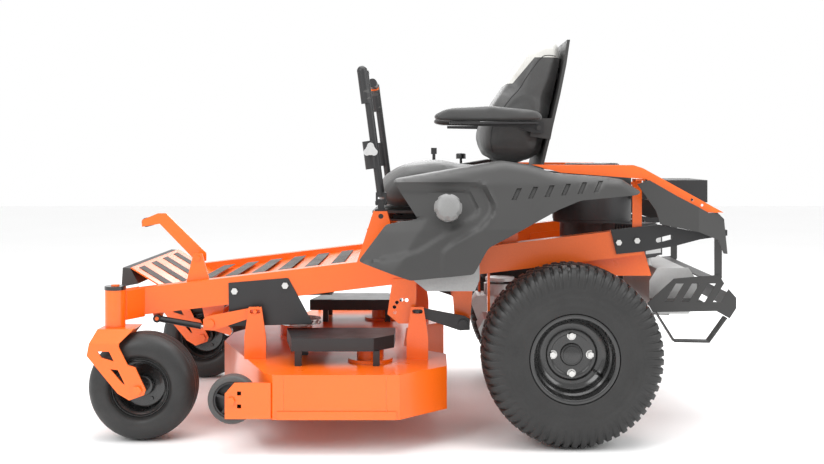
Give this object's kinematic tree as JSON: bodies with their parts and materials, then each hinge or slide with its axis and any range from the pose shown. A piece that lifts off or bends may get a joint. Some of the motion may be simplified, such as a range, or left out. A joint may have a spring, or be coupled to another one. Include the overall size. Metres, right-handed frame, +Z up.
{
  "type": "zero turn mower",
  "caption": "Ride-on zero turn lawn mower with a mid-mounted side-discharge deck, twin steering levers, swivelling front casters and a high-back seat.",
  "frame": {"origin": "on the ground, at the middle of the whole mower's footprint", "axes": "+X towards the rear, +Y towards the mower's right-hand side, +Z up"},
  "size_m": [2.0445, 1.594, 1.291],
  "materials": {
    "orange_paint": "satin",
    "black_paint": "satin",
    "charcoal_plastic": "grained",
    "grey_plastic": "grained",
    "tyre_rubber": "matte",
    "solid_rubber": "matte",
    "seat_vinyl": "grained",
    "bare_steel": "brushed",
    "cast_aluminium": "cast",
    "gloss_black": "gloss"
  },
  "bodies": {
    "frame": {"frame_rails": "orange_paint", "caster_housings": "orange_paint", "floor_tubes": "orange_paint", "seat_riser": "orange_paint", "engine_tray": "orange_paint", "hanger_brackets": "orange_paint", "foot_platform": "orange_paint", "nose_panel": "charcoal_plastic", "side_steps": "black_paint", "fender_left": "charcoal_plastic", "fender_right": "charcoal_plastic", "fuel_tank": "grey_plastic", "transaxles": "cast_aluminium", "engine_block": "cast_aluminium", "engine_shroud": "gloss_black", "muffler": "bare_steel", "muffler_guard": "black_paint", "rear_bar": "orange_paint", "corner_panels": "charcoal_plastic"},
    "seat_mount": {"seat_pan": "black_paint"},
    "seat": {"seat_shell": "charcoal_plastic", "seat_cushion": "seat_vinyl", "back_cushion": "seat_vinyl"},
    "deck": {"deck_shell": "orange_paint", "deck_brackets": "orange_paint", "belt_covers": "charcoal_plastic"},
    "chute": {"chute": "orange_paint"},
    "clutch": {"clutch_pulley": "bare_steel"},
    "lift_front": {"lift_front": "orange_paint"},
    "lift_rear": {"lift_rear": "black_paint"},
    "strut_cylinders": {"strut_cylinders": "black_paint"},
    "strut_rods": {"strut_rods": "bare_steel"},
    "lift_pedal": {"lift_pedal": "orange_paint"},
    "fuel_cap": {"fuel_cap": "grey_plastic"},
    "throttle_lever": {"throttle_lever": "gloss_black"},
    "pto_knob": {"pto_knob": "gloss_black"},
    "caster_left": {"caster_fork_left": "orange_paint"},
    "front_wheel_left": {"front_rim_left": "black_paint", "front_tyre_left": "tyre_rubber"},
    "rear_wheel_left": {"rear_rim_left": "black_paint", "rear_tyre_left": "tyre_rubber"},
    "lever_base_left": {"lever_base_left": "black_paint"},
    "lever_arm_left": {"lever_arm_left": "black_paint"},
    "armrest_left": {"armrest_left": "charcoal_plastic"},
    "scalp_wheel_left": {"scalp_wheel_left": "solid_rubber"},
    "caster_right": {"caster_fork_right": "orange_paint"},
    "front_wheel_right": {"front_rim_right": "black_paint", "front_tyre_right": "tyre_rubber"},
    "rear_wheel_right": {"rear_rim_right": "black_paint", "rear_tyre_right": "tyre_rubber"},
    "lever_base_right": {"lever_base_right": "black_paint"},
    "lever_arm_right": {"lever_arm_right": "black_paint"},
    "armrest_right": {"armrest_right": "charcoal_plastic"},
    "scalp_wheel_right": {"scalp_wheel_right": "solid_rubber"},
    "spindle_left": {"spindle_left": "bare_steel", "blade_left": "black_paint"},
    "spindle_mid": {"spindle_mid": "bare_steel", "blade_mid": "black_paint"},
    "spindle_right": {"spindle_right": "bare_steel", "blade_right": "black_paint"}
  },
  "joints": [
    {"name": "caster_swivel_left", "type": "hinge", "parent": "frame", "child": "caster_left", "pos_m": [-0.94825, -0.5885, 0.349], "axis": [0, 0, 1], "continuous": true},
    {"name": "front_wheel_spin_left", "type": "hinge", "parent": "caster_left", "child": "front_wheel_left", "pos_m": [-0.85725, -0.5885, 0.165], "axis": [0, 1, 0], "continuous": true},
    {"name": "rear_wheel_spin_left", "type": "hinge", "parent": "frame", "child": "rear_wheel_left", "pos_m": [0.45975, -0.6385, 0.274], "axis": [0, 1, 0], "continuous": true},
    {"name": "lever_push_left", "type": "hinge", "parent": "frame", "child": "lever_base_left", "pos_m": [-0.12625, -0.4785, 0.683], "axis": [0, -1, 0], "range_deg": [-12, 20]},
    {"name": "lever_swing_left", "type": "hinge", "parent": "lever_base_left", "child": "lever_arm_left", "pos_m": [-0.12625, -0.4785, 0.725], "axis": [1, 0, 0], "range_deg": [-14, 0]},
    {"name": "armrest_fold_left", "type": "hinge", "parent": "seat", "child": "armrest_left", "pos_m": [0.38975, -0.3485, 0.968], "axis": [0, 1, 0], "range_deg": [0, 95]},
    {"name": "scalp_wheel_spin_left", "type": "hinge", "parent": "deck", "child": "scalp_wheel_left", "pos_m": [-0.55225, -0.757, 0.159], "axis": [0, 1, 0], "continuous": true},
    {"name": "caster_swivel_right", "type": "hinge", "parent": "frame", "child": "caster_right", "pos_m": [-0.94825, 0.3515, 0.349], "axis": [0, 0, 1], "continuous": true},
    {"name": "front_wheel_spin_right", "type": "hinge", "parent": "caster_right", "child": "front_wheel_right", "pos_m": [-0.85725, 0.3515, 0.165], "axis": [0, 1, 0], "continuous": true},
    {"name": "rear_wheel_spin_right", "type": "hinge", "parent": "frame", "child": "rear_wheel_right", "pos_m": [0.45975, 0.4015, 0.274], "axis": [0, 1, 0], "continuous": true},
    {"name": "lever_push_right", "type": "hinge", "parent": "frame", "child": "lever_base_right", "pos_m": [-0.12625, 0.2415, 0.683], "axis": [0, -1, 0], "range_deg": [-12, 20]},
    {"name": "lever_swing_right", "type": "hinge", "parent": "lever_base_right", "child": "lever_arm_right", "pos_m": [-0.12625, 0.2415, 0.725], "axis": [-1, 0, 0], "range_deg": [-14, 0]},
    {"name": "armrest_fold_right", "type": "hinge", "parent": "seat", "child": "armrest_right", "pos_m": [0.38975, 0.1115, 0.968], "axis": [0, 1, 0], "range_deg": [0, 95]},
    {"name": "scalp_wheel_spin_right", "type": "hinge", "parent": "deck", "child": "scalp_wheel_right", "pos_m": [-0.55225, 0.52, 0.159], "axis": [0, 1, 0], "continuous": true},
    {"name": "seat_tilt", "type": "hinge", "parent": "frame", "child": "seat_mount", "pos_m": [-0.15525, -0.1185, 0.656], "axis": [0, -1, 0], "range_deg": [0, 38]},
    {"name": "seat_slide", "type": "slide", "parent": "seat_mount", "child": "seat", "axis": [1, 0, 0], "range_m": [-0.06, 0.03]},
    {"name": "deck_height", "type": "slide", "parent": "frame", "child": "deck", "axis": [0, 0, 1], "range_m": [-0.08, 0]},
    {"name": "chute_swing", "type": "hinge", "parent": "deck", "child": "chute", "pos_m": [-0.24525, 0.564, 0.25], "axis": [1, 0, 0], "range_deg": [0, 95]},
    {"name": "clutch_spin", "type": "hinge", "parent": "frame", "child": "clutch", "pos_m": [0.60175, -0.1185, 0.44], "axis": [0, 0, 1], "continuous": true},
    {"name": "spindle_spin_left", "type": "hinge", "parent": "deck", "child": "spindle_left", "pos_m": [-0.15725, -0.5495, 0.122], "axis": [0, 0, 1], "continuous": true},
    {"name": "spindle_spin_mid", "type": "hinge", "parent": "deck", "child": "spindle_mid", "pos_m": [-0.42825, -0.1185, 0.122], "axis": [0, 0, 1], "continuous": true},
    {"name": "spindle_spin_right", "type": "hinge", "parent": "deck", "child": "spindle_right", "pos_m": [-0.15725, 0.3125, 0.122], "axis": [0, 0, 1], "continuous": true},
    {"name": "lift_front_turn", "type": "hinge", "parent": "frame", "child": "lift_front", "pos_m": [-0.66525, -0.1185, 0.345], "axis": [0, 1, 0], "range_deg": [0, 31.1]},
    {"name": "lift_rear_turn", "type": "hinge", "parent": "frame", "child": "lift_rear", "pos_m": [0.13475, -0.1185, 0.345], "axis": [0, -1, 0], "range_deg": [0, 31.1]},
    {"name": "strut_turn", "type": "hinge", "parent": "frame", "child": "strut_cylinders", "pos_m": [-0.84125, -0.1185, 0.356], "axis": [0, 1, 0], "range_deg": [0, 6.98]},
    {"name": "strut_slide", "type": "slide", "parent": "strut_cylinders", "child": "strut_rods", "axis": [0.9848, 0, -0.1735], "range_m": [-0.0168, 0]},
    {"name": "lift_pedal_push", "type": "hinge", "parent": "frame", "child": "lift_pedal", "pos_m": [-0.71625, -0.4185, 0.547], "axis": [0, 1, 0], "range_deg": [0, 30.1]},
    {"name": "fuel_cap_turn", "type": "hinge", "parent": "frame", "child": "fuel_cap", "pos_m": [0.08475, -0.69547, 0.712], "axis": [0, -0.9374, 0.3482], "range_deg": [0, 120]},
    {"name": "throttle_turn", "type": "hinge", "parent": "frame", "child": "throttle_lever", "pos_m": [0.04475, 0.2265, 0.78], "axis": [0, 1, 0], "range_deg": [-14, 14]},
    {"name": "pto_lift", "type": "slide", "parent": "frame", "child": "pto_knob", "axis": [0, 0, 1], "range_m": [0, 0.012]}
  ],
  "couplings": [
    {"joint": "lift_front_turn", "follows": "deck_height", "rad_per_m": -6.7632},
    {"joint": "lift_rear_turn", "follows": "deck_height", "rad_per_m": -6.7632},
    {"joint": "strut_turn", "follows": "deck_height", "rad_per_m": -1.5016},
    {"joint": "strut_slide", "follows": "deck_height", "ratio": 0.20627},
    {"joint": "lift_pedal_push", "follows": "deck_height", "rad_per_m": -6.545},
    {"joint": "spindle_spin_left", "follows": "clutch_spin", "ratio": 0.97222},
    {"joint": "spindle_spin_mid", "follows": "clutch_spin", "ratio": 0.97222},
    {"joint": "spindle_spin_right", "follows": "clutch_spin", "ratio": 0.97222}
  ]
}
